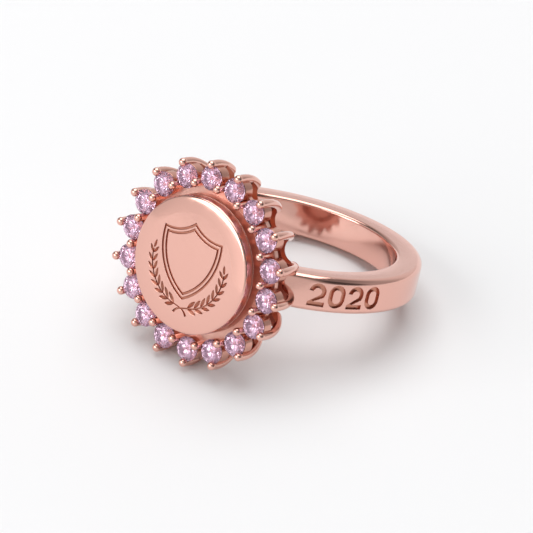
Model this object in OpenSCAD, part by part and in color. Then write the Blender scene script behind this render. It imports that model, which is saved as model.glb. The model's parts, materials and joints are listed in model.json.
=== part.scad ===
// A halo signet ring, lying on its side as it rests by itself. Millimetres.
// It is built about its finger hole, with X out through the signet, Y across the
// signet and Z along the finger, and is then laid down on two prongs and the shank.

/* [Shank] */
// Inside diameter of the ring
finger_d = 17.3; // [15:0.1:20]
// Thickness of the shank, from the finger outwards
shank_t = 2.15; // [1.8:0.01:2.4]
// Width of the shank, along the finger
shank_w = 2.92; // [2.7:0.02:3.4]
// Rounding of the shank's outer edges
outer_round = 0.48; // [0.2:0.01:0.6]
// Rounding of the shank's inner edges
inner_round = 0.3; // [0.1:0.02:0.4]

/* [Stones] */
// Number of stones in the halo
stone_count = 18; // [16:1:20]
// Diameter of a stone at its girdle
stone_d = 2.0; // [1.8:0.05:2.2]
// Open gap between the girdles of two neighbours
stone_gap = 0.41; // [0.36:0.01:0.5]
// Turn of the halo, from a stone right at the top
halo_turn = 5.8; // [4:0.1:16]
// Diameter of a stone's table
table_d = 1.12; // [0.9:0.02:1.3]
// Slope of a stone's crown
crown_angle = 34.5; // [30:0.5:38]
// Slope of a stone's pavilion
pavilion_angle = 40.8; // [38:0.2:43]
// Thickness of a stone's girdle
girdle_t = 0.06; // [0.04:0.01:0.1]
// Gap left between a stone and the metal round it
seat_gap = 0.04; // [0.03:0.01:0.06]

/* [Setting] */
// Height of the girdles above the shank's outer face
girdle_h = 0.66; // [0.5:0.01:1]
// Diameter of a collet
collet_d = 1.94; // [1.8:0.01:1.96]
// Length of a collet behind the girdle
collet_l = 1.05; // [1:0.01:1.3]
// Diameter of the open hole behind a stone
azure_d = 0.9; // [0.6:0.05:1.1]
// Radius of the ball tip on a prong
ball_r = 0.345; // [0.3:0.005:0.38]
// Radius of an outer prong's bar
bar_r = 0.32; // [0.26:0.01:0.33]
// Distance of an outer ball from its stone's axis
outer_ball_out = 1.1; // [1.06:0.01:1.16]
// Height of the outer balls above the girdle
outer_ball_h = 0.24; // [0.18:0.01:0.3]
// Radius of the arc that an outer prong follows
bar_arc_r = 4.3; // [3.9:0.05:4.8]
// Angle through which that arc curls in behind the halo
bar_curl = 66; // [62:1:72]
// Distance behind its ball where an outer prong bulges most
bar_apex = 0.5; // [0.3:0.05:0.8]
// Distance of the inner balls inside the ring of stone axes
inner_ball_in = 0.5; // [0.46:0.01:0.54]
// Height of the inner balls above the girdle
inner_ball_h = 0.56; // [0.45:0.01:0.65]
// Radius of an inner prong's post
post_r = 0.31; // [0.3:0.01:0.34]

/* [Basket] */
// Width of the trough between the plate and the collets
trough_w = 0.34; // [0.3:0.01:0.5]
// Depth of the trough's floor behind the girdle
trough_depth = 0.75; // [0.6:0.01:0.8]
// Thickness of the trough's floor
trough_t = 0.4; // [0.3:0.01:0.6]
// Thickness of the cup's wall, under the plate
wall_t = 0.8; // [0.6:0.05:1]
// Thickness of the cup's rim, round the plate
rim_t = 0.13; // [0.1:0.01:0.2]
// Distance from the plate's top edge down to that rim
rim_drop = 0.3; // [0.2:0.01:0.4]
// Radius of the curve that the scalloped skirt follows across the finger
skirt_curve_r = 17.2; // [15:0.1:19]
// Height of the skirt
skirt_h = 1.3; // [1:0.02:1.4]
// Gap between the finger and the middle of the skirt
skirt_clear = 0.16; // [0.1:0.02:0.3]
// Radius of a scallop in the skirt
scallop_r = 1.05; // [1:0.01:1.1]
// Depth of a scallop inside the ring of stone axes, at the skirt's edge
scallop_in = 0.74; // [0.6:0.01:0.8]
// Lean of the scallops, which run in towards the skirt's edge
scallop_lean = 22; // [16:1:24]

/* [Signet plate] */
// Thickness of the plate at its edge
plate_t = 0.95; // [0.8:0.05:1.2]
// Height of the plate's top edge above the girdle
plate_h = 1.26; // [1.1:0.02:1.5]
// Rise of the plate's dome
dome_h = 0.2; // [0.12:0.02:0.3]
// Rounding of the plate's top edge
plate_round = 0.28; // [0.2:0.02:0.4]
// Rounding of the plate's lower edge
under_round = 0.16; // [0.1:0.02:0.3]
// Length of the boss under the plate
boss_l = 0.6; // [0.4:0.05:0.8]
// Gap left between the plate and its seat
plate_gap = 0.07; // [0.05:0.01:0.09]
// Depth of the cut ornament
cut_depth = 0.16; // [0.1:0.01:0.22]

/* [Ornament] */
// Half the width of the shield at its top corners
shield_half_w = 2.89; // [2.5:0.01:3]
// Height of the top corners above the plate's centre
shield_corner_v = 2.6; // [2.3:0.01:2.7]
// Height of the middle peak above the plate's centre
shield_peak_v = 3.54; // [3.4:0.01:3.6]
// Depth of the shield's point below the plate's centre
shield_tip_v = 2.8; // [2.6:0.01:2.9]
// Bow of the shield's sides
shield_side_bow = 1.0; // [0.8:0.01:1.1]
// Bow of the two hollows in the shield's top
shield_top_bow = 0.35; // [0.3:0.01:0.45]
// Width of a cut line
line_w = 0.17; // [0.13:0.01:0.2]
// Distance between the shield's two lines
line_pitch = 0.34; // [0.3:0.01:0.45]
// Radius of the ring on which the laurel stems lie
laurel_r = 3.47; // [3.45:0.01:3.6]
// Turn of the whole ornament, against the clock
ornament_turn = 2.5; // [0:0.5:5]
// Angle from the crossing of the stems to the first pair of leaves
first_leaf = 14; // [12:1:20]
// Angle from the crossing of the stems to the last pair of leaves
last_leaf = 85; // [80:1:90]
// Pairs of leaves on a spray
leaf_pairs = 8; // [6:1:9]
// Length of a leaf
leaf_l = 0.8; // [0.6:0.01:0.84]
// Width of a leaf
leaf_w = 0.29; // [0.2:0.01:0.32]
// Angle between a leaf and its stem
leaf_spread = 36; // [32:1:42]
// Width of a stem
stem_w = 0.1; // [0.08:0.01:0.12]
// Length of the stems below their crossing
stem_tail = 0.8; // [0.6:0.05:0.85]
// Angle between those ends and the level
tail_angle = 38; // [30:1:50]

/* [Numerals] */
// Height of the numerals
digit_h = 1.88; // [1.6:0.02:1.92]
// Width of a numeral
digit_w = 1.4; // [1.2:0.02:1.46]
// Thickness of the numerals' strokes
stroke = 0.36; // [0.28:0.01:0.4]
// Open gap between two numerals
digit_gap = 0.26; // [0.2:0.01:0.3]
// Angle round the shank from the signet to the middle of the numerals
digit_angle = 64; // [62:1:90]
// Depth of the numerals
digit_depth = 0.22; // [0.14:0.01:0.26]

/* [Hidden] */
// How finely curves are drawn: in general, the large ones, the longest arcs and the small round parts.
$fn = 64;
large_fn = 128;
arc_fn = 180;
small_fn = 32;
corner_steps = 6;
dome_steps = 8;
digit_steps = 14;
eps = 0.01;
// How far a stem runs on past its last pair of leaves, in degrees.
stem_past = 6;
// Where the hook of a two starts and ends, and its foot and heel in strokes.
hook_from = 172;
hook_to = -38;
foot = 0.8;
heel = 1.3;

finger_r = finger_d / 2;
shank_r = finger_r + shank_t;

stone_r = stone_d / 2;
pitch = 360 / stone_count;
halo_r = (stone_d + stone_gap) / (2 * sin(pitch / 2));
crown_h = (stone_r - table_d / 2) * tan(crown_angle);
pavilion_h = stone_r * tan(pavilion_angle);

// Heights are measured from the finger hole's centre, out through the signet.
girdle_x = shank_r + girdle_h;
outer_ball_x = girdle_x + outer_ball_h;
inner_ball_x = girdle_x + inner_ball_h;
collet_back_x = girdle_x - collet_l;
trough_x = girdle_x - trough_depth;
plate_top_x = girdle_x + plate_h;
plate_back_x = plate_top_x - plate_t;
skirt_back_x = finger_r + skirt_clear;

outer_ball_r = halo_r + outer_ball_out;
inner_ball_r = halo_r - inner_ball_in;
cup_r = halo_r - collet_d / 2 - trough_w;
well_r = cup_r - wall_t;
// Long enough to pass through the whole head.
through_h = 3 * outer_ball_r;
plate_r = cup_r - rim_t - plate_gap;
boss_r = well_r - plate_gap;

// The dome runs smoothly into the rounded edge.
rim_at = [plate_r - plate_round, plate_top_x - plate_round];
dome_r = (rim_at.x * rim_at.x + dome_h * dome_h + 2 * plate_round * dome_h) / (2 * dome_h);
dome_centre_x = plate_top_x + dome_h - dome_r;
rim_angle = atan2(rim_at.y - dome_centre_x, rim_at.x);

bar_centre_x = outer_ball_x - bar_apex;
bar_centre_r = outer_ball_r - sqrt(bar_arc_r * bar_arc_r - bar_apex * bar_apex);
bar_start = asin(bar_apex / bar_arc_r);
scallop_at = halo_r - scallop_in + scallop_r / cos(scallop_lean);

// At rest two neighbouring prongs and the back of the shank touch the ground.
// The roll brings the two prongs level, and the tilt brings the shank down to them.
roll = (180 + halo_turn) % pitch - pitch / 2;
steepest = 60;
function prong_low(t) =
    sin(t) * bar_centre_x - cos(t) * cos(pitch / 2) * bar_centre_r
    - bar_arc_r * norm([sin(t), cos(t) * cos(pitch / 2)]) - bar_r;
function shank_reach(along) =
    (shank_r - outer_round) * sqrt(1 - along * along)
    + (shank_w / 2 - outer_round) * abs(along) + outer_round;
function shank_low(t) = -shank_reach(cos(t) * cos(roll));
function level_tilt(low, high, steps) =
    steps == 0 ? (low + high) / 2
    : let (t = (low + high) / 2)
      prong_low(t) < shank_low(t) ? level_tilt(t, high, steps - 1) : level_tilt(low, t, steps - 1);
tilt = level_tilt(0, steepest, 24);
ground = prong_low(tilt);
front = outer_ball_x * cos(tilt) + outer_ball_r * cos(pitch / 2) * sin(tilt) + ball_r;
back = shank_reach(sin(tilt) * cos(roll));

// A brilliant's main facets, and where its star and lower girdle facets end.
mains = 8;
star_share = 0.5;
lower_share = 0.76;
// Each stone is set turned a little further than the last.
stone_turn = 17;

stone_names = [for (i = [1:stone_count]) str("stone_", i < 10 ? "0" : "", i)];

metal = "#E5B3A4";
gem = "#EBB4D8";

// Lays the ring down, with the signet towards the front.
module at_rest()
    translate([0, (front - back) / 2, -ground])
    rotate([0, -tilt, -90])
    rotate([-roll, 0, 0])
    children();

// Turns a shape that stands along Z so that it stands out through the signet.
module outwards() rotate([0, 90, 0]) children();

// Places a shape round the signet's axis, the first one at the top.
module round_halo(index, radius)
    rotate([0, 0, 180 + halo_turn - index * pitch])
    translate([radius, 0, 0])
    children();

function arc(cx, cy, r, from, to, steps = corner_steps) =
    [for (k = [0:steps]) let (a = from + (to - from) * k / steps) [cx + r * cos(a), cy + r * sin(a)]];

// Shank

module shank() {
    w = shank_w / 2;
    ri = inner_round;
    ro = outer_round;
    rotate_extrude()
        polygon(concat(
            arc(finger_r + ri, ri - w, ri, 180, 270),
            arc(shank_r - ro, ro - w, ro, 270, 360),
            arc(shank_r - ro, w - ro, ro, 0, 90),
            arc(finger_r + ri, w - ri, ri, 90, 180)));
}

// Basket

// What lies within the curve that the skirt follows across the finger, grown by more.
module within_curve(more) translate([skirt_back_x - skirt_curve_r, 0, 0])
    cylinder(r = skirt_curve_r + more, h = through_h, center = true, $fn = arc_fn);

// A ring under the prongs, arched over the finger and scalloped between them.
module skirt() intersection() {
    outwards() difference() {
        rotate_extrude() intersection() {
            translate([bar_centre_r, bar_centre_x]) circle(bar_arc_r, $fn = large_fn);
            translate([well_r, 0]) square([outer_ball_r, bar_centre_x]);
        }
        for (i = [0:stone_count - 1])
            round_halo(i + 0.5, scallop_at) translate([0, 0, skirt_back_x]) rotate([0, scallop_lean, 0])
                cylinder(r = scallop_r, h = through_h, center = true);
    }
    within_curve(skirt_h);
}

module outer_prong() {
    translate([bar_centre_r, 0, bar_centre_x]) rotate([90, 0, 0]) rotate([0, 0, -bar_curl])
        rotate_extrude(angle = bar_curl + bar_start, $fn = large_fn)
            translate([bar_arc_r, 0]) circle(bar_r, $fn = small_fn);
    translate([outer_ball_r, 0, outer_ball_x]) sphere(ball_r, $fn = small_fn);
}

module inner_prong() {
    translate([inner_ball_r, 0, trough_x - trough_t / 2])
        cylinder(r = post_r, h = inner_ball_x - trough_x + trough_t / 2, $fn = small_fn);
    translate([inner_ball_r, 0, inner_ball_x]) sphere(ball_r, $fn = small_fn);
}

// What a stone takes out of the metal: its own outline with a gap, and the hole behind it.
module stone_seat() {
    r = stone_r + seat_gap;
    slope = tan(pavilion_angle);
    low = -girdle_t / 2 - seat_gap;
    azure_r = azure_d / 2;
    rotate_extrude($fn = small_fn) polygon([
        [0, -collet_l - eps],
        [azure_r, -collet_l - eps],
        [azure_r, low - (r - azure_r) * slope],
        [r, low],
        [r, girdle_t / 2 + seat_gap / 2],
        [table_d / 2 + seat_gap, girdle_t / 2 + seat_gap / 2 + crown_h + seat_gap],
        [0, girdle_t / 2 + seat_gap / 2 + crown_h + seat_gap]]);
}

// Half the section of the cup that holds the plate, and of the trough's floor round it.
module cup_half() polygon([
    [well_r, 0], [cup_r, 0],
    [cup_r, trough_x - trough_t], [halo_r, trough_x - trough_t],
    [halo_r, trough_x], [cup_r, trough_x],
    [cup_r, plate_top_x - rim_drop], [cup_r - rim_t, plate_top_x - rim_drop],
    [cup_r - rim_t, plate_back_x - plate_gap], [well_r, plate_back_x - plate_gap]]);

module basket() difference() {
    union() {
        skirt();
        outwards() {
            rotate_extrude() cup_half();
            for (i = [0:stone_count - 1]) {
                round_halo(i, halo_r) translate([0, 0, collet_back_x])
                    cylinder(d = collet_d, h = collet_l, $fn = small_fn);
                round_halo(i, 0) outer_prong();
                round_halo(i + 0.5, 0) inner_prong();
            }
        }
    }
    within_curve(0);
}

// Numerals

module two() {
    r = digit_w / 2;
    top = digit_h / 2;
    polygon(concat(
        arc(0, top - r, r, hook_from, hook_to, digit_steps),
        [[stroke * heel - r, stroke - top], [r, stroke - top], [r, -top], [-r, -top],
         [-r, stroke * foot - top]],
        arc(0, top - r, r - stroke, hook_to, hook_from, digit_steps)));
}

module oval(w, h)
    polygon(concat(
        arc(0, (h - w) / 2, w / 2, 0, 180, digit_steps),
        arc(0, (w - h) / 2, w / 2, 180, 360, digit_steps)));

module zero() difference() {
    oval(digit_w, digit_h);
    oval(digit_w - 2 * stroke, digit_h - 2 * stroke);
}

module numerals() {
    step = (digit_w + digit_gap) / shank_r * 180 / PI;
    for (i = [0:3])
        rotate([0, 0, digit_angle + (i - 1.5) * step])
            translate([shank_r - digit_depth, 0, 0]) rotate([90, 0, 90])
            linear_extrude(digit_depth + eps) if (i % 2 == 0) two(); else zero();
}

// Signet plate

// Centre and radius of the arc from p to q that bows out by bow on its left.
function bowed(p, q, bow) =
    let (d = q - p, c = norm(d), r = (c * c / 4 + bow * bow) / (2 * bow))
    [(p + q) / 2 + [-d.y, d.x] / c * (bow - r), r];

shield_corner = [shield_half_w, shield_corner_v];
shield_tip = [0, -shield_tip_v];
shield_peak = [0, shield_peak_v];

module shield(inset) {
    side = bowed(shield_corner, shield_tip, shield_side_bow);
    hollow = bowed(shield_corner, shield_peak, shield_top_bow);
    difference() {
        intersection() {
            translate(side[0]) circle(side[1] - inset, $fn = arc_fn);
            mirror([1, 0]) translate(side[0]) circle(side[1] - inset, $fn = arc_fn);
            circle(plate_r);
        }
        translate(hollow[0]) circle(hollow[1] + inset, $fn = large_fn);
        mirror([1, 0]) translate(hollow[0]) circle(hollow[1] + inset, $fn = large_fn);
    }
}

module shield_line(inset) difference() {
    shield(inset);
    shield(inset + line_w);
}

module leaf() {
    r = (leaf_l * leaf_l + leaf_w * leaf_w) / (4 * leaf_w);
    translate([leaf_l / 2, 0]) intersection() {
        translate([0, r - leaf_w / 2]) circle(r);
        translate([0, leaf_w / 2 - r]) circle(r);
    }
}

// One spray, from the crossing at the bottom up the right side.
module spray() {
    step = (last_leaf - first_leaf) / (leaf_pairs - 1);
    for (i = [0:leaf_pairs - 1]) rotate([0, 0, first_leaf + i * step - 90]) translate([laurel_r, 0])
        for (side = [-1, 1]) rotate([0, 0, 90 + side * leaf_spread]) translate([stem_w, 0]) leaf();
    rotate([0, 0, last_leaf + stem_past - 90]) translate([laurel_r, 0]) rotate([0, 0, 90 + stem_past])
        translate([stem_w, 0]) leaf();
    translate([0, -laurel_r]) rotate([0, 0, 180 + tail_angle]) translate([-stem_w, -stem_w / 2])
        square([stem_tail, stem_w]);
}

module stem(cut_h) rotate([0, 0, -90])
    rotate_extrude(angle = last_leaf + stem_past, $fn = large_fn)
        translate([laurel_r - stem_w / 2, 0]) square([stem_w, cut_h]);

// Everything that is cut into the plate, as upright blocks.
module ornament(cut_h) {
    linear_extrude(cut_h) {
        shield_line(0);
        shield_line(line_pitch);
        spray();
        mirror([1, 0]) spray();
    }
    stem(cut_h);
    mirror([1, 0, 0]) stem(cut_h);
}

module domed_plate() rotate_extrude($fn = large_fn) polygon(concat(
    [[0, plate_back_x]],
    arc(plate_r - under_round, plate_back_x + under_round, under_round, -90, 0),
    arc(rim_at.x, rim_at.y, plate_round, 0, rim_angle),
    arc(0, dome_centre_x, dome_r, rim_angle, 90, dome_steps)));

module signet_plate() color(metal) at_rest() outwards() {
    cut_base_x = plate_top_x - 2 * cut_depth;
    cut_top_x = plate_top_x + dome_h + eps;
    difference() {
        domed_plate();
        difference() {
            translate([0, 0, cut_base_x]) rotate([0, 0, 90 + ornament_turn])
                ornament(cut_top_x - cut_base_x);
            translate([0, 0, -cut_depth]) domed_plate();
        }
    }
    translate([0, 0, plate_back_x - boss_l]) cylinder(r = boss_r, h = boss_l + under_round);
}

module mounting() color(metal) at_rest() difference() {
    union() {
        shank();
        basket();
    }
    outwards() for (i = [0:stone_count - 1])
        round_halo(i, halo_r) translate([0, 0, girdle_x]) stone_seat();
    numerals();
}

// Stones

// Points of a brilliant's rows, eight to a row or two for each at the girdle.
function row(count, radius, height, turn = 0) =
    [for (k = [0:count - 1]) let (a = 360 * (k + turn) / count)
        [radius * cos(a), radius * sin(a), height]];

// A round brilliant cut: table, stars, kites, girdle facets and pavilion mains.
module brilliant() {
    half = girdle_t / 2;
    half_step = cos(360 / mains / 2);
    table_r = table_d / 2;
    star_r = table_r * half_step + (stone_r - table_r * half_step) * star_share;
    star_z = half + (stone_r - star_r * half_step) * tan(crown_angle);
    low_r = stone_r * (1 - lower_share);
    low_z = -half - (stone_r - low_r * half_step) * tan(pavilion_angle);
    points = concat(
        row(mains, table_r, half + crown_h), row(mains, star_r, star_z, 0.5),
        row(mains * 2, stone_r, half), row(mains * 2, stone_r, -half),
        row(mains, low_r, low_z, 0.5), [[0, 0, -half - pavilion_h]]);
    star = mains;
    upper = star + mains;
    lower = upper + 2 * mains;
    low = lower + 2 * mains;
    culet = low + mains;
    polyhedron(points, concat(
        [[for (k = [mains - 1:-1:0]) k]],
        [for (k = [0:mains - 1]) let (n = (k + 1) % mains) [k, n, star + k]],
        [for (k = [0:mains - 1]) [k, star + k, upper + 2 * k, star + (k + mains - 1) % mains]],
        [for (k = [0:mains - 1]) [star + k, upper + 2 * k + 1, upper + 2 * k]],
        [for (k = [0:mains - 1]) [star + k, upper + (2 * k + 2) % (2 * mains), upper + 2 * k + 1]],
        [for (j = [0:2 * mains - 1]) let (n = (j + 1) % (2 * mains))
            [upper + j, upper + n, lower + n, lower + j]],
        [for (k = [0:mains - 1]) [low + k, lower + 2 * k, lower + 2 * k + 1]],
        [for (k = [0:mains - 1]) [low + k, lower + 2 * k + 1, lower + (2 * k + 2) % (2 * mains)]],
        [for (k = [0:mains - 1]) [culet, low + (k + mains - 1) % mains, lower + 2 * k, low + k]]));
}

module stone(index) color(gem) at_rest() outwards() round_halo(index, halo_r)
    translate([0, 0, girdle_x]) rotate([0, 0, index * stone_turn]) brilliant();

mounting();
signet_plate();
for (i = [0:stone_count - 1])
    stone(i);
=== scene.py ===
import json
from math import asin, atan2, cos, degrees, hypot, pi, radians, sin, sqrt, tan

import bmesh
import bpy
from mathutils import Matrix, Vector


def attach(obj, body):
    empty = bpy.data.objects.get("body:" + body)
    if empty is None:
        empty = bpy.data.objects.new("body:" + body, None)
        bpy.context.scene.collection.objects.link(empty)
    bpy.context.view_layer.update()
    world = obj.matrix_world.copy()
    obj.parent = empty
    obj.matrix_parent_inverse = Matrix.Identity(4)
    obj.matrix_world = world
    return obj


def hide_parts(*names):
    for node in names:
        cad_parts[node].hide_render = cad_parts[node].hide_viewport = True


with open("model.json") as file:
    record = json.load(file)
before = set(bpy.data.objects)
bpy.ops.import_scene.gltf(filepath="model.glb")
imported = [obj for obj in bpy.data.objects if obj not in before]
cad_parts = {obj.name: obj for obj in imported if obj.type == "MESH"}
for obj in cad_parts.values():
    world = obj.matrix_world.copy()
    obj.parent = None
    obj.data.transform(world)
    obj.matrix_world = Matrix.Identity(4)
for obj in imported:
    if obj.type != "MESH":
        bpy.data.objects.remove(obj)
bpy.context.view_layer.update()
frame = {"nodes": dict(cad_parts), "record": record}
print("frame loaded:", len(frame["nodes"]), "nodes")

# Sizes are in millimetres and angles in degrees, up to the floor, light and camera.
fingerHole = next(m for m in frame["record"]["mounts"] if m["name"] == "finger_hole")
band = {
    "fingerRadius": fingerHole["dims"]["r_mm"], "thickness": 2.15, "width": 2.92,
    "outerRounding": 0.48, "innerRounding": 0.3, "outerSteps": 12, "innerSteps": 8, "steps": 256,
}
halo = {
    "stones": 18, "turn": 5.8, "stoneDiameter": 2.0, "stoneGap": 0.41, "girdleHeight": 0.66,
    "tableDiameter": 1.12, "crownAngle": 34.5, "pavilionAngle": 40.8, "girdleThickness": 0.06,
    "seatGap": 0.04,
}
pitch = 2 * pi / halo["stones"]
haloRadius = (halo["stoneDiameter"] + halo["stoneGap"]) / (2 * sin(pitch / 2))
bandRadius = band["fingerRadius"] + band["thickness"]
girdle = bandRadius + halo["girdleHeight"]

# The ring's own frame, from the finger hole that the record states: X out through the
# signet, Y across it, Z along the finger. The head's own frame has Z out through the signet.
fingerAxis = Vector(fingerHole["axis"]).normalized()
signetAxis = Vector((0, -fingerAxis.z, fingerAxis.y)).normalized()
ringToRow = (Matrix.Translation(fingerHole["pos_m"])
             @ Matrix((signetAxis, fingerAxis.cross(signetAxis), fingerAxis)).transposed().to_4x4()
             @ Matrix.Scale(0.001, 4))
headToRow = ringToRow @ Matrix.Rotation(pi / 2, 4, "Y")


# An sRGB hex colour as the linear one that shaders take.
def linearColour(hexText):
    channels = [int(hexText[i:i + 2], 16) / 255 for i in (1, 3, 5)]
    return (*[c / 12.92 if c <= 0.04045 else ((c + 0.055) / 1.055) ** 2.4 for c in channels], 1.0)


# Adds a node to a tree; an input takes a value, or the output that feeds it.
def addNode(tree, kind, inputs=None, **settings):
    node = tree.nodes.new(kind)
    for name, value in settings.items():
        setattr(node, name, value)
    for socket, value in (inputs or {}).items():
        if isinstance(value, bpy.types.NodeSocket):
            tree.links.new(value, node.inputs[socket])
        else:
            node.inputs[socket].default_value = value
    return node


# Materials: a grain scale is in waves to the metre, an edge softness in metres.

haze = {"detail": 4.0, "low": 0.3, "high": 0.7, "edgeSamples": 4}
metalLook = {
    "colour": "#E9B5A7", "roughLow": 0.08, "roughHigh": 0.14, "grainScale": 900.0,
    "edgeSoftness": 0.00006,
}
castLook = {
    "colour": "#E3B1A3", "roughLow": 0.28, "roughHigh": 0.4, "grainScale": 2500.0,
    "edgeSoftness": 0.00005,
}
# Painted shade: a darker rose gold for the collets and skirt in the hollows under the stones.
hollowShadeLook = {
    "colour": "#D9A191", "roughLow": 0.16, "roughHigh": 0.24, "grainScale": 2500.0,
    "edgeSoftness": 0.00005,
}
# Painted shade: a darker colour and edge tint for the hollows of the scallops.
scallopShadeLook = {
    "colour": "#B57261", "grazing": "#B27263", "roughLow": 0.32, "roughHigh": 0.42,
    "grainScale": 2500.0, "edgeSoftness": 0.00005,
}
# Painted shade: a darker colour for the grooves of the engraved lines.
engravingShadeLook = {"colour": "#B87C69", "roughLow": 0.35, "roughHigh": 0.45, "grainScale": 3000.0}
# Painted shade: a darker colour for the cut numerals, less dark than the fine lines.
numeralShadeLook = {"colour": "#C58773", "roughLow": 0.25, "roughHigh": 0.35, "grainScale": 3000.0}
gemLook = {
    "colour": "#FFD0EE", "mirrored": "#FFD0EC", "roughness": 0.0, "ior": 2.4, "clearness": 0.9,
}
paperLook = {"colour": "#ECECED", "roughness": 0.8}


def newMaterial(name):
    material = bpy.data.materials.new(name)
    material.use_nodes = True
    material.node_tree.nodes.clear()
    return material, material.node_tree


def metalMaterial(name, look):
    material, tree = newMaterial(name)
    place = addNode(tree, "ShaderNodeTexCoord").outputs["Object"]
    noise = addNode(tree, "ShaderNodeTexNoise", {
        "Vector": place, "Scale": look["grainScale"], "Detail": haze["detail"]})
    rough = addNode(tree, "ShaderNodeMapRange", {
        "Value": noise.outputs["Fac"], "From Min": haze["low"], "From Max": haze["high"],
        "To Min": look["roughLow"], "To Max": look["roughHigh"]})
    shader = addNode(tree, "ShaderNodeBsdfPrincipled", {
        "Base Color": linearColour(look["colour"]), "Metallic": 1.0,
        "Roughness": rough.outputs["Result"]})
    if "grazing" in look:
        shader.inputs["Specular Tint"].default_value = linearColour(look["grazing"])
    if "edgeSoftness" in look:
        edges = addNode(tree, "ShaderNodeBevel", {"Radius": look["edgeSoftness"]},
                        samples=haze["edgeSamples"])
        tree.links.new(edges.outputs["Normal"], shader.inputs["Normal"])
    addNode(tree, "ShaderNodeOutputMaterial", {"Surface": shader.outputs["BSDF"]})
    return material


# Rose gold, cast and polished on a wheel: a mirror with a faint polishing haze, and edges
# that the wheel has softened.
def polishedRoseGold():
    return metalMaterial("polishedRoseGold", metalLook)


# Rose gold where no wheel reaches, bright from tumbling but still with the mould's fine
# grain: it blurs what it mirrors.
def castRoseGold():
    return metalMaterial("castRoseGold", castLook)


# Rose gold of the collets and the skirt, under the stones: its darker colour is painted shade of
# the hollows they sit in, and its finish is a little rougher than the polished gold.
def hollowShadedRoseGold():
    return metalMaterial("hollowShadedRoseGold", hollowShadeLook)


# Rose gold in the scallops between the prongs: its colour and edge tint are painted shade of these
# hollows, darker than the polished gold, and its finish is rougher.
def scallopShadedRoseGold():
    return metalMaterial("scallopShadedRoseGold", scallopShadeLook)


# Rose gold in a fine cut line, left dull as the graver left it, with its colour darkened as painted
# shade in the groove.
def shadePaintedCut():
    return metalMaterial("shadePaintedCut", engravingShadeLook)


# Rose gold in the wider numerals: dull, with its colour darkened as painted shade in the cuts, less
# dark than in the fine lines.
def shadePaintedNumerals():
    return metalMaterial("shadePaintedNumerals", numeralShadeLook)


# Pink cubic zirconia, cut and polished: nearly clear, strongly refracting, tinted through,
# with a pink coat that colours what it mirrors.
def pinkZirconia():
    material, tree = newMaterial("pinkZirconia")
    shader = addNode(tree, "ShaderNodeBsdfPrincipled", {
        "Base Color": linearColour(gemLook["colour"]), "Roughness": gemLook["roughness"],
        "Specular Tint": linearColour(gemLook["mirrored"]), "IOR": gemLook["ior"],
        "Transmission Weight": gemLook["clearness"]})
    addNode(tree, "ShaderNodeOutputMaterial", {"Surface": shader.outputs["BSDF"]})
    return material


# White sweep paper: plain and dull.
def sweepPaper():
    material, tree = newMaterial("sweepPaper")
    shader = addNode(tree, "ShaderNodeBsdfPrincipled", {
        "Base Color": linearColour(paperLook["colour"]), "Roughness": paperLook["roughness"]})
    addNode(tree, "ShaderNodeOutputMaterial", {"Surface": shader.outputs["BSDF"]})
    return material


roseGold = polishedRoseGold()
cutLineShade = shadePaintedCut()
castGold = castRoseGold()
hollowShadeGold = hollowShadedRoseGold()
scallopShadeGold = scallopShadedRoseGold()
numeralShade = shadePaintedNumerals()
gemStone = pinkZirconia()
print("materials made")


# Mesh tools

mergeDistance = 1e-5      # points nearer than this become one


def newObject(name, data):
    made = bpy.data.objects.new(name, data)
    bpy.context.scene.collection.objects.link(made)
    return made


def meshObject(name, points, faces, material=roseGold):
    mesh = bpy.data.meshes.new(name)
    mesh.from_pydata([tuple(p) for p in points], [], faces)
    work = bmesh.new()
    work.from_mesh(mesh)
    bmesh.ops.remove_doubles(work, verts=work.verts, dist=mergeDistance)
    bmesh.ops.recalc_face_normals(work, faces=work.faces)
    work.to_mesh(mesh)
    work.free()
    mesh.materials.append(material)
    return newObject(name, mesh)


# The modifiers' result becomes the object's own plain mesh.
def settle(piece):
    done = bpy.data.meshes.new_from_object(
        piece.evaluated_get(bpy.context.evaluated_depsgraph_get()))
    piece.modifiers.clear()
    worn, piece.data = piece.data, done
    bpy.data.meshes.remove(worn)
    return piece


# Cuts a piece with another, or joins or overlaps them. The other is used up.
def carve(piece, cutter, operation="DIFFERENCE", crossing=False):
    modifier = piece.modifiers.new("carve", "BOOLEAN")
    modifier.operation = operation
    modifier.object = cutter
    modifier.solver = "EXACT"
    modifier.use_self = crossing
    modifier.material_mode = "TRANSFER"
    settle(piece)
    bpy.data.objects.remove(cutter)
    return piece


def arc(centre, radius, start, end, steps):
    angles = [radians(start + (end - start) * k / steps) for k in range(steps + 1)]
    return [(centre[0] + radius * cos(a), centre[1] + radius * sin(a)) for a in angles]


# Turns a section of (radius, height) points round Z. One that ends on the axis is closed there.
def lathe(name, section, steps, material=roseGold):
    points = [(r * cos(2 * pi * k / steps), r * sin(2 * pi * k / steps), z)
              for k in range(steps) for r, z in section]
    count = len(section)
    onAxis = section[0][0] == 0
    faces = [(k * count + j, k * count + (j + 1) % count,
              (k + 1) % steps * count + (j + 1) % count, (k + 1) % steps * count + j)
             for k in range(steps) for j in range(count - 1 if onAxis else count)]
    return meshObject(name, points, faces, material)


# A tube of matching rings of points, closed on itself or capped at its ends.
def tube(name, rings, closed, material=roseGold):
    count = len(rings[0])
    last = len(rings) if closed else len(rings) - 1
    faces = [(i * count + j, i * count + (j + 1) % count,
              (i + 1) % len(rings) * count + (j + 1) % count, (i + 1) % len(rings) * count + j)
             for i in range(last) for j in range(count)]
    if not closed:
        faces += [tuple(range(count)), tuple((len(rings) - 1) * count + j for j in range(count))]
    return meshObject(name, [p for ring in rings for p in ring], faces, material)


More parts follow.
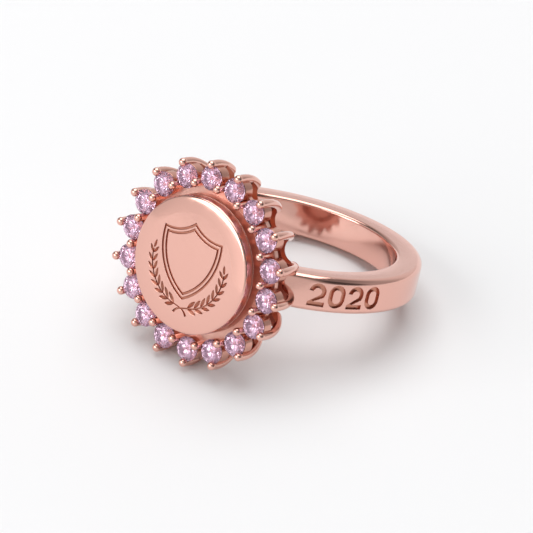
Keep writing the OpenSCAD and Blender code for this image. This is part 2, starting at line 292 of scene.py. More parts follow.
def joined(name, parts):
    work = bmesh.new()
    for part in parts:
        work.from_mesh(part.data)
    mesh = bpy.data.meshes.new(name)
    work.to_mesh(mesh)
    work.free()
    mesh.materials.append(parts[0].data.materials[0])
    for part in parts:
        bpy.data.objects.remove(part)
    return newObject(name, mesh)


# Puts a finished piece in the row's frame, smooth but for its edges.
def finishPiece(piece, place, sharpAngle=32):
    mesh = piece.data
    mesh.transform(place)
    mesh.shade_smooth()
    mesh.set_sharp_from_angle(angle=radians(sharpAngle))
    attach(piece, "root")
    print(piece.name, len(mesh.polygons), "faces")


def newTree(name, *inputs):
    tree = bpy.data.node_groups.new(name, "GeometryNodeTree")
    tree.interface.new_socket("Geometry", in_out="INPUT", socket_type="NodeSocketGeometry")
    tree.interface.new_socket("Geometry", in_out="OUTPUT", socket_type="NodeSocketGeometry")
    for label, kind in inputs:
        tree.interface.new_socket(label, in_out="INPUT", socket_type=kind)
    return tree, addNode(tree, "NodeGroupInput").outputs


def useTree(piece, tree, values):
    modifier = piece.modifiers.new(tree.name, "NODES")
    modifier.node_group = tree
    for socket in tree.interface.items_tree:
        if socket.in_out == "INPUT" and socket.name in values:
            modifier[socket.identifier] = values[socket.name]
    return settle(piece)


# Repeats what it is given round the signet's axis.
def roundTheHaloTree():
    tree, given = newTree(
        "roundTheHalo", ("Count", "NodeSocketInt"), ("First Angle", "NodeSocketFloat"),
        ("Step Angle", "NodeSocketFloat"), ("Material", "NodeSocketMaterial"))
    spots = addNode(tree, "GeometryNodePoints", {"Count": given["Count"]})
    index = addNode(tree, "GeometryNodeInputIndex")
    turned = addNode(tree, "ShaderNodeMath", {0: index.outputs["Index"], 1: given["Step Angle"],
                                              2: given["First Angle"]}, operation="MULTIPLY_ADD")
    spin = addNode(tree, "ShaderNodeCombineXYZ", {"Z": turned.outputs["Value"]})
    copies = addNode(tree, "GeometryNodeInstanceOnPoints", {
        "Points": spots.outputs["Points"], "Instance": given["Geometry"],
        "Rotation": spin.outputs["Vector"]})
    solid = addNode(tree, "GeometryNodeRealizeInstances", {"Geometry": copies.outputs["Instances"]})
    dressed = addNode(tree, "GeometryNodeSetMaterial", {
        "Geometry": solid.outputs["Geometry"], "Material": given["Material"]})
    addNode(tree, "NodeGroupOutput", {"Geometry": dressed.outputs["Geometry"]})
    return tree


roundTheHalo = roundTheHaloTree()


# The unit stands at angle 0; between moves the copies half a step on.
def repeatRoundHalo(unit, name, between=False, material=roseGold):
    firstAngle = pi + radians(halo["turn"]) - (pitch / 2 if between else 0)
    useTree(unit, roundTheHalo, {"Count": halo["stones"], "First Angle": firstAngle,
                                 "Step Angle": -pitch, "Material": material})
    unit.name = name
    return unit


# Band

numerals = {
    "height": 1.88, "width": 1.4, "stroke": 0.36, "gap": 0.26, "angle": 64, "depth": 0.22,
    "hookFrom": 172, "hookTo": -38, "foot": 0.8, "heel": 1.3, "count": 4, "steps": 20,
}


def bandSection():
    half, inner, outer = band["width"] / 2, band["innerRounding"], band["outerRounding"]
    low, high = band["fingerRadius"] + inner, bandRadius - outer
    return (arc((low, inner - half), inner, 180, 270, band["innerSteps"])
            + arc((high, outer - half), outer, 270, 360, band["outerSteps"])
            + arc((high, half - outer), outer, 0, 90, band["outerSteps"])
            + arc((low, half - inner), inner, 90, 180, band["innerSteps"]))


def twoOutline():
    radius, top = numerals["width"] / 2, numerals["height"] / 2
    stroke, steps = numerals["stroke"], numerals["steps"]
    first, last = numerals["hookFrom"], numerals["hookTo"]
    return (arc((0, top - radius), radius, first, last, steps)
            + [(stroke * numerals["heel"] - radius, stroke - top), (radius, stroke - top),
               (radius, -top), (-radius, -top), (-radius, stroke * numerals["foot"] - top)]
            + arc((0, top - radius), radius - stroke, last, first, steps))


def ovalOutline(width, height):
    steps = numerals["steps"]
    return (arc((0, (height - width) / 2), width / 2, 0, 180, steps)
            + arc((0, (width - height) / 2), width / 2, 180, 360, steps))


# The cutters' faces leave the numerals' painted shade on the band.
def numeralCutters():
    cutters = []
    step, middle = (numerals["width"] + numerals["gap"]) / bandRadius, (numerals["count"] - 1) / 2
    low, high = bandRadius - numerals["depth"], bandRadius + numerals["depth"]
    for i in range(numerals["count"]):
        turn = Matrix.Rotation(radians(numerals["angle"]) + (i - middle) * step, 4, "Z")
        if i % 2 == 0:
            outline = twoOutline()
            rings = [[turn @ Vector((x, p[0], p[1])) for p in outline] for x in (low, high)]
            cutters.append(tube("two", rings, False, numeralShade))
        else:
            outer = ovalOutline(numerals["width"], numerals["height"])
            inner = ovalOutline(numerals["width"] - 2 * numerals["stroke"],
                                numerals["height"] - 2 * numerals["stroke"])
            rings = [[turn @ Vector((x, p[0], p[1]))
                      for x, p in ((low, o), (high, o), (high, n), (low, n))]
                     for o, n in zip(outer, inner)]
            cutters.append(tube("zero", rings, True, numeralShade))
    return joined("numeralCutters", cutters)


ringBand = lathe("ringBand", bandSection(), band["steps"])
carve(ringBand, numeralCutters())
finishPiece(ringBand, ringToRow)


# Basket

cup = {
    "colletDiameter": 1.94, "troughWidth": 0.34, "troughDepth": 0.75, "floorThickness": 0.4,
    "wall": 0.8, "plateInset": 0.12, "overhang": 0.02, "lipRounding": 0.02, "plateGap": 0.05,
    "lipSteps": 5, "steps": 192,
}
plate = {
    "height": 1.26, "thickness": 0.95, "rise": 0.2, "flatRadius": 4.1, "domeCurve": 110,
    "shoulderCurve": 6.5, "edgeRounding": 0.22, "underRounding": 0.16, "bossLength": 0.6,
    "bossChamfer": 0.1, "underSteps": 6, "edgeSteps": 10, "domeSteps": 12, "steps": 192,
    "domeTolerance": 0.002,
}
skirt = {
    "curveRadius": 17.2, "height": 1.3, "clearance": 0.16, "scallopRadius": 1.05,
    "scallopInset": 0.74, "scallopLean": 22, "scallopReach": 8, "lap": 0.4, "step": 0.02,
    "curveReach": 12, "curveSteps": 256, "steps": 64,
}
prong = {
    "ballRadius": 0.345, "barRadius": 0.32, "ballOut": 1.1, "ballHeight": 0.24, "arcRadius": 4.3,
    "curl": 66, "apex": 0.5, "ballSteps": 32, "barSteps": 24, "arcSteps": 48,
}
post = {"radius": 0.31, "inset": 0.5, "ballHeight": 0.56, "steps": 24}
collet = {"length": 1.05, "openHole": 0.9, "lipRounding": 0.06, "lipSteps": 4, "steps": 40}

# The head's heights count from the finger hole's centre, out through the signet.
plateTop = girdle + plate["height"]
plateBack = plateTop - plate["thickness"]
troughFloor = girdle - cup["troughDepth"]
cupRadius = haloRadius - cup["colletDiameter"] / 2 - cup["troughWidth"]
wellRadius = cupRadius - cup["wall"]
plateRadius = cupRadius - cup["plateInset"]
skirtBack = band["fingerRadius"] + skirt["clearance"]
ballRadiusOut = haloRadius + prong["ballOut"]
ballTop = girdle + prong["ballHeight"]
barReach = sqrt(prong["arcRadius"] ** 2 - prong["apex"] ** 2)
barCentre = (ballRadiusOut - barReach, ballTop - prong["apex"])


# A long cylinder along the finger, with the curve that the head follows across it.
def fingerCurve(extra=0.0, material=roseGold):
    centre, steps = (0, skirtBack - skirt["curveRadius"]), skirt["curveSteps"]
    outline = arc(centre, skirt["curveRadius"] + extra, 0, 360 - 360 / steps, steps - 1)
    rings = [[(x, y, z) for y, z in outline] for x in (-skirt["curveReach"], skirt["curveReach"])]
    return tube("fingerCurve", rings, False, material)


# The seat's radius, its slope, the open hole's radius and the height where the slope starts.
def seatSection():
    radius = halo["stoneDiameter"] / 2 + halo["seatGap"]
    slope = tan(radians(halo["pavilionAngle"]))
    hole = collet["openHole"] / 2
    low = -halo["girdleThickness"] / 2 - halo["seatGap"]
    return radius, slope, hole, low


# A collet is a short tube with the stone's seat cut into its mouth.
def colletUnit():
    radius, slope, hole, low = seatSection()
    outer, lip = cup["colletDiameter"] / 2, collet["lipRounding"]
    mouth = low - (radius - outer) * slope
    section = ([(hole, -collet["length"]), (outer, -collet["length"]), (outer, mouth - lip)]
               + arc((outer - lip / 2, mouth - lip), lip / 2, 0, 90, collet["lipSteps"])
               + [(outer - lip, mouth - lip * slope), (hole, low - (radius - hole) * slope)])
    # The collets take the rose gold that is darkened as painted shade.
    unit = lathe("colletUnit", section, collet["steps"], hollowShadeGold)
    unit.data.transform(Matrix.Translation((haloRadius, 0, girdle)))
    return unit


def seatCutter(angle):
    radius, slope, _, low = seatSection()
    half = halo["girdleThickness"] / 2 + halo["seatGap"] / 2
    table = halo["tableDiameter"] / 2 + halo["seatGap"]
    top = half + (radius - table) * tan(radians(halo["crownAngle"])) + halo["seatGap"]
    section = [(0, low - radius * slope), (radius, low), (radius, half), (table, top), (0, top)]
    cutter = lathe("seatCutter", section, collet["steps"])
    place = Matrix.Rotation(angle, 4, "Z") @ Matrix.Translation((haloRadius, 0, girdle))
    cutter.data.transform(place)
    return cutter


def ball(at):
    radius, steps = prong["ballRadius"], prong["ballSteps"]
    side = arc((0, at[1]), radius, -90, 90, steps // 2)[1:-1]
    unit = lathe("ball", [(0, at[1] - radius)] + side + [(0, at[1] + radius)], steps)
    unit.data.transform(Matrix.Translation((at[0], 0, 0)))
    return unit


# An outer prong: a bar on an arc, curling in behind the halo, with a ball at its tip.
def outerProngUnit():
    start, around = degrees(atan2(prong["apex"], barReach)), prong["barSteps"]
    circle = arc((0, 0), prong["barRadius"], 0, 360 - 360 / around, around - 1)
    rings = []
    for step in range(prong["arcSteps"] + 1):
        angle = radians(start - (start + prong["curl"]) * step / prong["arcSteps"])
        rings.append([(barCentre[0] + (prong["arcRadius"] + x) * cos(angle), y,
                       barCentre[1] + (prong["arcRadius"] + x) * sin(angle))
                      for x, y in circle])
    unit = tube("outerProngUnit", rings, False)
    carve(unit, ball((ballRadiusOut, ballTop)), "UNION")
    return carve(unit, seatCutter(0))


# An inner prong: a straight post between two stones, with a ball on it.
def innerProngUnit():
    at = haloRadius - post["inset"]
    foot, top = troughFloor - cup["floorThickness"] / 2, girdle + post["ballHeight"]
    section = [(0, foot), (post["radius"], foot), (post["radius"], top), (0, top)]
    unit = lathe("innerProngUnit", section, post["steps"])
    unit.data.transform(Matrix.Translation((at, 0, 0)))
    carve(unit, ball((at, top)), "UNION")
    carve(unit, seatCutter(pitch / 2))
    return carve(unit, seatCutter(-pitch / 2))


# The cup's wall stands just inside the plate's edge, which hides its lip.
def cupSection():
    shelf, lip = plateBack - cup["plateGap"], cup["lipRounding"]
    wallRadius = plateRadius - cup["overhang"]
    return ([(wellRadius, 0), (cupRadius, 0), (cupRadius, troughFloor - cup["floorThickness"]),
             (haloRadius, troughFloor - cup["floorThickness"]), (haloRadius, troughFloor),
             (wallRadius, troughFloor)]
            + arc((wallRadius - lip, shelf - lip), lip, 0, 90, cup["lipSteps"])
            + [(wellRadius, shelf)])


# The skirt laps into the cup's wall, and its back lies a step behind the cup's, so no two
# surfaces share a place.
def skirtPiece():
    inside = cupRadius - skirt["lap"]
    scallopRadius, reach = skirt["scallopRadius"], skirt["scallopReach"]
    outline = [p for p in arc(barCentre, prong["arcRadius"], -90, 0, skirt["steps"])
               if p[0] >= inside and p[1] >= 0]
    section = [(inside, outline[0][1])] + outline + [(inside, outline[-1][1])]
    # The skirt's ring takes the rose gold that is darkened as painted shade.
    ring = lathe("basketSkirt", section, cup["steps"], hollowShadeGold)
    lean = radians(skirt["scallopLean"])
    # The scallop cuts and the cut along the finger's curve leave painted shade on the skirt's
    # faces.
    scallop = lathe("scallop", [(0, -reach), (scallopRadius, -reach),
                                (scallopRadius, reach), (0, reach)], skirt["steps"], scallopShadeGold)
    at = haloRadius - skirt["scallopInset"] + scallopRadius / cos(lean)
    scallop.data.transform(Matrix.Translation((at, 0, skirtBack)) @ Matrix.Rotation(lean, 4, "Y"))
    repeatRoundHalo(scallop, "scallops", between=True, material=scallopShadeGold)
    carve(ring, fingerCurve(skirt["height"], scallopShadeGold), "INTERSECT")
    carve(ring, scallop, crossing=True)
    return carve(ring, fingerCurve(skirt["step"]))


basketSkirt = skirtPiece()
finishPiece(basketSkirt, headToRow)
signetCup = lathe("signetCup", cupSection(), cup["steps"], castGold)
carve(signetCup, fingerCurve())
finishPiece(signetCup, headToRow)
collets = repeatRoundHalo(colletUnit(), "collets", material=hollowShadeGold)
finishPiece(collets, headToRow)
outerProngs = repeatRoundHalo(outerProngUnit(), "outerProngs")
carve(outerProngs, fingerCurve())
finishPiece(outerProngs, headToRow)
innerProngs = repeatRoundHalo(innerProngUnit(), "innerProngs", between=True)
finishPiece(innerProngs, headToRow)
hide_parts("mounting")
print("mounting built")


# Signet plate

engraving = {"depth": 0.12, "floorShare": 0.6, "above": 0.3, "turn": 2.5}
shield = {
    "halfWidth": 2.89, "corner": 2.6, "peak": 3.54, "tip": 2.8, "sideBow": 1.0, "topBow": 0.35,
    "line": 0.19, "linePitch": 0.34, "steps": 24,
}
laurel = {
    "radius": 3.39, "radiusGain": 0.14, "crossing": 3.49, "firstLeaf": 10.5, "lastLeaf": 89,
    "pairs": 8, "leafLength": 0.85, "leafWidth": 0.28, "innerSpread": 38, "outerSpread": 26,
    "stem": 0.11, "tailCurve": 0.95, "tailTurn": 50, "tailSwell": 0.9, "tailLap": 0.05,
    "pastLast": 6, "crossingSize": 1.14, "tipSize": 0.88, "innerSize": 1.02, "outerSize": 0.96,
    "leafStart": 0.6, "leafFloor": 0.12, "leafSteps": 10, "stemSteps": 40, "tailSteps": 12,
}


# The plate's top is a shallow dome, then a rounder shoulder, then the rounded edge. A slope is
# the one where two of these meet.
domeTop = plateTop + plate["rise"]
domeCentre = domeTop - plate["domeCurve"]
flatSlope = asin(plate["flatRadius"] / plate["domeCurve"])
shoulderCentre = (plate["flatRadius"] - plate["shoulderCurve"] * sin(flatSlope),
                  domeCentre + (plate["domeCurve"] - plate["shoulderCurve"]) * cos(flatSlope))
edgeSlope = asin((plateRadius - plate["edgeRounding"] - shoulderCentre[0])
                 / (plate["shoulderCurve"] - plate["edgeRounding"]))
edgeCentre = (plateRadius - plate["edgeRounding"],
              shoulderCentre[1] + (plate["shoulderCurve"] - plate["edgeRounding"]) * cos(edgeSlope))


def domeHeight(x, y):
    return domeCentre + sqrt(plate["domeCurve"] ** 2 - x * x - y * y)


def plateSection():
    under, bossRadius = plate["underRounding"], wellRadius - cup["plateGap"]
    bossFoot, chamfer = plateBack - plate["bossLength"], plate["bossChamfer"]
    edge, shoulder, steps = 90 - degrees(edgeSlope), 90 - degrees(flatSlope), plate["domeSteps"]
    return ([(0, bossFoot), (bossRadius - chamfer, bossFoot), (bossRadius, bossFoot + chamfer),
             (bossRadius, plateBack)]
            + arc((plateRadius - under, plateBack + under), under, -90, 0, plate["underSteps"])
            + arc(edgeCentre, plate["edgeRounding"], 0, edge, plate["edgeSteps"])
            + arc(shoulderCentre, plate["shoulderCurve"], edge, shoulder, steps)[1:]
            + arc((0, domeCentre), plate["domeCurve"], shoulder, 90, steps)[1:-1]
            + [(0, domeTop)])


# Centre and radius of the arc from one point to another that bows out on its left.
def bowedArc(start, end, bow):
    chord = hypot(end[0] - start[0], end[1] - start[1])
    radius = (chord ** 2 / 4 + bow ** 2) / (2 * bow)
    left = (-(end[1] - start[1]) / chord, (end[0] - start[0]) / chord)
    return ((start[0] + end[0]) / 2 + left[0] * (bow - radius),
            (start[1] + end[1]) / 2 + left[1] * (bow - radius)), radius


# Where two circles cross, nearest to a point.
def crossingOf(first, second, near):
    (x0, y0), r0 = first
    (x1, y1), r1 = second
    gap = hypot(x1 - x0, y1 - y0)
    along = (gap ** 2 + r0 ** 2 - r1 ** 2) / (2 * gap)
    aside = sqrt(r0 ** 2 - along ** 2)
    ux, uy = (x1 - x0) / gap, (y1 - y0) / gap
    spots = [(x0 + along * ux - s * aside * uy, y0 + along * uy + s * aside * ux) for s in (-1, 1)]
    return min(spots, key=lambda p: hypot(p[0] - near[0], p[1] - near[1]))


def arcBetween(circle, start, end, steps):
    centre, radius = circle
    a = degrees(atan2(start[1] - centre[1], start[0] - centre[0]))
    b = degrees(atan2(end[1] - centre[1], end[0] - centre[0]))
    b = a + (b - a + 180) % 360 - 180
    return arc(centre, radius, a, b, steps)


# The shield's outline, drawn in from its edge: clockwise from the peak.
def shieldOutline(inset):
    corner = (shield["halfWidth"], shield["corner"])
    peak, tip = (0, shield["peak"]), (0, -shield["tip"])
    side = bowedArc(corner, tip, shield["sideBow"])
    hollow = bowedArc(corner, peak, shield["topBow"])
    side = (side[0], side[1] - inset)
    hollow = (hollow[0], hollow[1] + inset)
    mirrored = lambda circle: ((-circle[0][0], circle[0][1]), circle[1])
    newPeak = crossingOf(hollow, mirrored(hollow), peak)
    newTip = crossingOf(side, mirrored(side), tip)
    newCorner = crossingOf(hollow, side, corner)
    half = (arcBetween(hollow, newPeak, newCorner, shield["steps"])
            + arcBetween(side, newCorner, newTip, shield["steps"])[1:])
    return half + [(-x, y) for x, y in reversed(half[1:-1])]


# A cut line between two outlines, its floor narrower than its mouth, following the dome.
def cutBetween(outer, inner, closed, name):
    above, floor, share = engraving["above"], -engraving["depth"], (1 - engraving["floorShare"]) / 2
    section = ((0, above), (0, 0), (share, floor), (1 - share, floor), (1, 0), (1, above))
    rings = []
    for o, n in zip(outer, inner):
        spots = [(o[0] + (n[0] - o[0]) * t, o[1] + (n[1] - o[1]) * t, h) for t, h in section]
        rings.append([(x, y, domeHeight(x, y) + h) for x, y, h in spots])
    # The cut's faces carry the painted shade of the groove.
    return tube(name, rings, closed, cutLineShade)


# A leaf lies along X from 0 and is cut in a V down to its middle.
def leafUnit():
    length, width = laurel["leafLength"], laurel["leafWidth"]
    radius = (length ** 2 + width ** 2) / (4 * width)
    swing = degrees(atan2(length / 2, radius - width / 2))
    upper = arc((length / 2, width / 2 - radius), radius, 90 + swing, 90 - swing,
                laurel["leafSteps"])
    outline = upper + [(x, -y) for x, y in reversed(upper[1:-1])]
    rings = [[(x, y, h) for x, y in outline] for h in (engraving["above"], 0)]
    share = laurel["leafFloor"]
    rings.append([(length * share + (1 - 2 * share) * x, y * share, -engraving["depth"])
                  for x, y in outline])
    # The leaf's faces carry the painted shade of the groove.
    unit = tube("leafUnit", rings, False, cutLineShade)
    unit.data.transform(Matrix.Translation((laurel["stem"] * laurel["leafStart"], 0, 0)))
    return unit


# Pairs of leaves along a slowly widening arc, laid on the dome.
def laurelTree():
    tree, given = newTree(
        "laurelSpray", ("Leaves", "NodeSocketInt"), ("Radius", "NodeSocketFloat"),
        ("Radius Step", "NodeSocketFloat"), ("First Angle", "NodeSocketFloat"),
        ("Step Angle", "NodeSocketFloat"), ("Inner Spread", "NodeSocketFloat"),
        ("Outer Spread", "NodeSocketFloat"), ("First Size", "NodeSocketFloat"),
        ("Size Step", "NodeSocketFloat"), ("Inner Size", "NodeSocketFloat"),
        ("Outer Size", "NodeSocketFloat"), ("Dome Radius", "NodeSocketFloat"),
        ("Dome Centre", "NodeSocketFloat"), ("Material", "NodeSocketMaterial"))

    def number(operation, *values):
        return addNode(tree, "ShaderNodeMath", dict(enumerate(values)),
                       operation=operation).outputs["Value"]

    spots = addNode(tree, "GeometryNodePoints", {"Count": given["Leaves"]})
    index = addNode(tree, "GeometryNodeInputIndex").outputs["Index"]
    pair = number("FLOOR", number("DIVIDE", index, 2.0))
    inside = number("MODULO", index, 2.0)

    def bySide(inner, outer):
        return number("MULTIPLY_ADD", inside, number("SUBTRACT", given[inner], given[outer]),
                      given[outer])

    side = number("MULTIPLY_ADD", inside, 2.0, -1.0)
    along = number("MULTIPLY_ADD", pair, given["Step Angle"], given["First Angle"])
    spread = bySide("Inner Spread", "Outer Spread")
    turned = number("ADD", number("ADD", along, pi / 2), number("MULTIPLY", side, spread))
    radius = number("MULTIPLY_ADD", pair, given["Radius Step"], given["Radius"])
    base = addNode(tree, "ShaderNodeCombineXYZ", {
        "X": number("MULTIPLY", radius, number("COSINE", along)),
        "Y": number("MULTIPLY", radius, number("SINE", along))})
    placed = addNode(tree, "GeometryNodeSetPosition", {
        "Geometry": spots.outputs["Points"], "Position": base.outputs["Vector"]})
    spin = addNode(tree, "ShaderNodeCombineXYZ", {"Z": turned})
    size = number("MULTIPLY", bySide("Inner Size", "Outer Size"),
                  number("MULTIPLY_ADD", pair, given["Size Step"], given["First Size"]))
    grown = addNode(tree, "ShaderNodeCombineXYZ", {"X": size, "Y": size, "Z": 1.0})
    copies = addNode(tree, "GeometryNodeInstanceOnPoints", {
        "Points": placed.outputs["Geometry"], "Instance": given["Geometry"],
        "Rotation": spin.outputs["Vector"], "Scale": grown.outputs["Vector"]})
    solid = addNode(tree, "GeometryNodeRealizeInstances", {"Geometry": copies.outputs["Instances"]})
    spot = addNode(tree, "ShaderNodeSeparateXYZ", {
        "Vector": addNode(tree, "GeometryNodeInputPosition").outputs["Position"]})
    reach = number("SUBTRACT", number("MULTIPLY", given["Dome Radius"], given["Dome Radius"]),
                   number("ADD", number("MULTIPLY", spot.outputs["X"], spot.outputs["X"]),
                          number("MULTIPLY", spot.outputs["Y"], spot.outputs["Y"])))
    lift = addNode(tree, "ShaderNodeCombineXYZ", {
        "Z": number("ADD", given["Dome Centre"], number("SQRT", reach))})
    domed = addNode(tree, "GeometryNodeSetPosition", {
        "Geometry": solid.outputs["Geometry"], "Offset": lift.outputs["Vector"]})
    dressed = addNode(tree, "GeometryNodeSetMaterial", {
        "Geometry": domed.outputs["Geometry"], "Material": given["Material"]})
    addNode(tree, "NodeGroupOutput", {"Geometry": dressed.outputs["Geometry"]})
    return tree


laurelSpray = laurelTree()


def mirroredCopy(piece, name):
    copy = newObject(name, piece.data.copy())
    copy.data.transform(Matrix.Scale(-1, 4, (1, 0, 0)))
    copy.data.flip_normals()
    return copy


# A point of the right spray's stem, which widens a little from its first leaf to its last.
def stemPoint(turn, aside=0.0):
    share = (turn - laurel["firstLeaf"]) / (laurel["lastLeaf"] - laurel["firstLeaf"])
    reach = laurel["radius"] + laurel["radiusGain"] * share + aside
    return Vector((reach * sin(radians(turn)), -reach * cos(radians(turn))))


# The stem's end runs straight from the first leaf to where the sprays cross, then curls down.
def tailCutter():
    half, steps = laurel["stem"] / 2, laurel["tailSteps"]
    foot, crossing = stemPoint(laurel["firstLeaf"]), Vector((0, -laurel["crossing"]))
    slope = atan2(foot.y - crossing.y, foot.x)
    along, across = Vector((cos(slope), sin(slope))), Vector((-sin(slope), cos(slope)))
    bend = crossing - laurel["tailCurve"] * across
    turns = arc((0, 0), 1, 90 + degrees(slope), 90 + degrees(slope) + laurel["tailTurn"], steps)
    edges = []
    for side in (half, -half):
        reach = [laurel["tailCurve"] + side * (1 + laurel["tailSwell"] * k / steps)
                 for k in range(steps + 1)]
        edges.append([foot + laurel["tailLap"] * along + side * across]
                     + [bend + r * Vector(turn) for turn, r in zip(turns, reach)])
    return cutBetween(*edges, False, "tail")


# One spray: leaves, the single leaf at its tip, the stem, and the stem's end.
def sprayCutters():
    gaps = laurel["pairs"] - 1
    sizes = {"Step Angle": radians((laurel["lastLeaf"] - laurel["firstLeaf"]) / gaps),
             "Radius Step": laurel["radiusGain"] / gaps, "Dome Radius": plate["domeCurve"],
             "Dome Centre": domeCentre, "Material": cutLineShade}
    leaves = useTree(leafUnit(), laurelSpray, {
        **sizes, "Leaves": 2 * laurel["pairs"], "Radius": laurel["radius"],
        "Inner Spread": radians(laurel["innerSpread"]),
        "Outer Spread": radians(laurel["outerSpread"]),
        "First Angle": radians(laurel["firstLeaf"] - 90), "First Size": laurel["crossingSize"],
        "Size Step": (laurel["tipSize"] - laurel["crossingSize"]) / gaps,
        "Inner Size": laurel["innerSize"], "Outer Size": laurel["outerSize"]})
    tipTurn = laurel["lastLeaf"] + laurel["pastLast"]
    tip = useTree(leafUnit(), laurelSpray, {
        **sizes, "Leaves": 1, "Radius": stemPoint(tipTurn).length, "Inner Spread": 0.0,
        "Outer Spread": radians(-laurel["pastLast"]), "First Angle": radians(tipTurn - 90),
        "First Size": laurel["tipSize"], "Size Step": 0.0, "Inner Size": 1.0, "Outer Size": 1.0})
    half, steps, first = laurel["stem"] / 2, laurel["stemSteps"], laurel["firstLeaf"]
    turns = [first + (tipTurn - first) * k / steps for k in range(steps + 1)]
    stem = cutBetween([stemPoint(turn, half) for turn in turns],
                      [stemPoint(turn, -half) for turn in turns], False, "stem")
    return [leaves, tip, stem, tailCutter()]


# Gives the dome its true normals, which the cuts disturb.
def trueDomeNormals(piece):
    mesh = piece.data
    normals = [Vector(n.vector) for n in mesh.corner_normals]
    toHead = headToRow.inverted()
    turned = headToRow.to_3x3().normalized()
    for face in mesh.polygons:
        for corner in face.loop_indices:
            spot = toHead @ mesh.vertices[mesh.loops[corner].vertex_index].co
            reach = hypot(spot.x, spot.y)
            off = hypot(reach, spot.z - domeCentre) - plate["domeCurve"]
            if abs(off) > plate["domeTolerance"]:
                break
        else:
            for corner in face.loop_indices:
                spot = toHead @ mesh.vertices[mesh.loops[corner].vertex_index].co
                outward = Vector((spot.x, spot.y, spot.z - domeCentre)).normalized()
                normals[corner] = turned @ outward
    mesh.normals_split_custom_set(normals)


signetPlate = lathe("signetPlate", plateSection(), plate["steps"])
signetPlate.data.materials.append(castGold)      # the side, which no wheel reaches
for face in signetPlate.data.polygons:
    face.material_index = int(face.center.z < edgeCentre[1])
cutters = [cutBetween(shieldOutline(inset), shieldOutline(inset + shield["line"]), True,
                      "shieldLine") for inset in (0, shield["linePitch"])]
cutters.append(joined("rightSpray", sprayCutters()))
cutters.append(mirroredCopy(cutters[-1], "leftSpray"))
for cutter in cutters:
    cutter.data.transform(Matrix.Rotation(radians(90 + engraving["turn"]), 4, "Z"))
    carve(signetPlate, cutter, crossing=cutter.name.endswith("Spray"))
finishPiece(signetPlate, headToRow)
trueDomeNormals(signetPlate)
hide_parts("signet_plate")
print("signet plate built")


# Stones

for name, node in frame["nodes"].items():
    if name.startswith("stone"):
        node.data.materials.clear()
        node.data.materials.append(gemStone)


# Floor

floorReach = 0.45      # metres from its middle to each side
floorMesh = bpy.data.meshes.new("floor")
floorMesh.from_pydata([(-floorReach, -floorReach, 0), (floorReach, -floorReach, 0),
                       (floorReach, floorReach, 0), (-floorReach, floorReach, 0)],
                      [], [(0, 1, 2, 3)])
floor = newObject("floor", floorMesh)
floorMesh.materials.append(sweepPaper())


# Light: powers in watts, widths, heights and places in metres.

# The room's walls and ceiling are what the metal mirrors: a level for each height, given as
# the sine of its angle, and sides that are brighter or darker than the rest. A side has its
# bearing and height in degrees, the cosines where it fades out and is full, and what it adds.
studio = {
    "levels": ((0.2, 0.44), (0.45, 0.42), (0.75, 0.22), (1.0, 0.22)),
    "sides": {
        "brightFront": (-120, 0, 0.4, 0.9, 0.54), "brightRight": (-64, 5, 0.5, 0.9, 0.26),
        "brightBack": (123, 0, 0.4, 0.9, 0.36), "dimLeft": (180, 10, 0.4, 0.9, -0.25),
        "darkRight": (4, 18, 0.86, 0.98, -0.34),
    },
}
softboxes = {
    "top": {"power": 3.3, "width": 0.65, "height": 0.65, "at": (-0.1, 0.1, 0.6)},
    "front": {"power": 1.9, "width": 0.6, "height": 0.35, "at": (-0.2, -0.6, 0.36)},
}


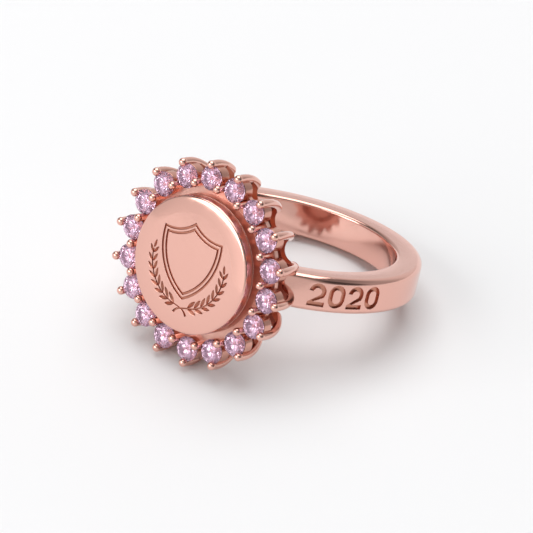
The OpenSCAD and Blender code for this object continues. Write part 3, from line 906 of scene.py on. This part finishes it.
def studioSky():
    world = bpy.data.worlds.new("studio")
    world.use_nodes = True
    tree = world.node_tree
    tree.nodes.clear()
    way = addNode(tree, "ShaderNodeTexCoord").outputs["Generated"]
    height = addNode(tree, "ShaderNodeSeparateXYZ", {"Vector": way}).outputs["Z"]
    ramp = addNode(tree, "ShaderNodeValToRGB", {"Fac": height})
    stops, levels = ramp.color_ramp.elements, studio["levels"]
    for at, _ in levels[1:-1]:
        stops.new(at)
    for stop, (at, level) in zip(stops, levels):
        stop.position = at
        stop.color = (level, level, level, 1)
    total = ramp.outputs["Color"]
    for bearing, rise, edge, full, added in studio["sides"].values():
        turn, lift = radians(bearing), radians(rise)
        nearness = addNode(tree, "ShaderNodeVectorMath", {
            0: way, 1: (cos(turn) * cos(lift), sin(turn) * cos(lift), sin(lift))},
            operation="DOT_PRODUCT")
        share = addNode(tree, "ShaderNodeMapRange", {
            "Value": nearness.outputs["Value"], "From Min": edge, "From Max": full,
            "To Max": added}, interpolation_type="SMOOTHSTEP")
        total = addNode(tree, "ShaderNodeVectorMath", {0: total, 1: share.outputs["Result"]},
                        operation="ADD").outputs["Vector"]
    glow = addNode(tree, "ShaderNodeBackground", {"Color": total})
    addNode(tree, "ShaderNodeOutputWorld", {"Surface": glow.outputs["Background"]})
    return world


def softbox(name, power, width, height, at):
    lamp = bpy.data.lights.new(name, "AREA")
    lamp.shape = "RECTANGLE"
    lamp.energy = power
    lamp.size = width
    lamp.size_y = height
    holder = newObject(name, lamp)
    holder.location = at
    holder.rotation_euler = (-Vector(at)).to_track_quat("-Z", "Y").to_euler()


bpy.context.scene.world = studioSky()
for name, box in softboxes.items():
    softbox(name + "Softbox", **box)


# Camera

cameraPlace = {
    "position": (0.24271, -0.31122, 0.27174),
    "target": (-0.00058, 0.00003, 0.0033),
    "roll": 5.436,       # degrees, against the clock
    "lens": 405.25, "sensor": 36,      # mm
    "farClip": 10,
}
camera = bpy.data.cameras.new("camera")
camera.lens = cameraPlace["lens"]
camera.sensor_width = cameraPlace["sensor"]
camera.clip_end = cameraPlace["farClip"]
cameraHolder = newObject("camera", camera)
position = Vector(cameraPlace["position"])
aim = (Vector(cameraPlace["target"]) - position).to_track_quat("-Z", "Y").to_matrix().to_4x4()
cameraHolder.matrix_world = (
    Matrix.Translation(position) @ aim @ Matrix.Rotation(radians(cameraPlace["roll"]), 4, "Z"))
bpy.context.scene.camera = cameraHolder
bpy.context.scene.view_settings.view_transform = "Standard"
print("light and camera placed")
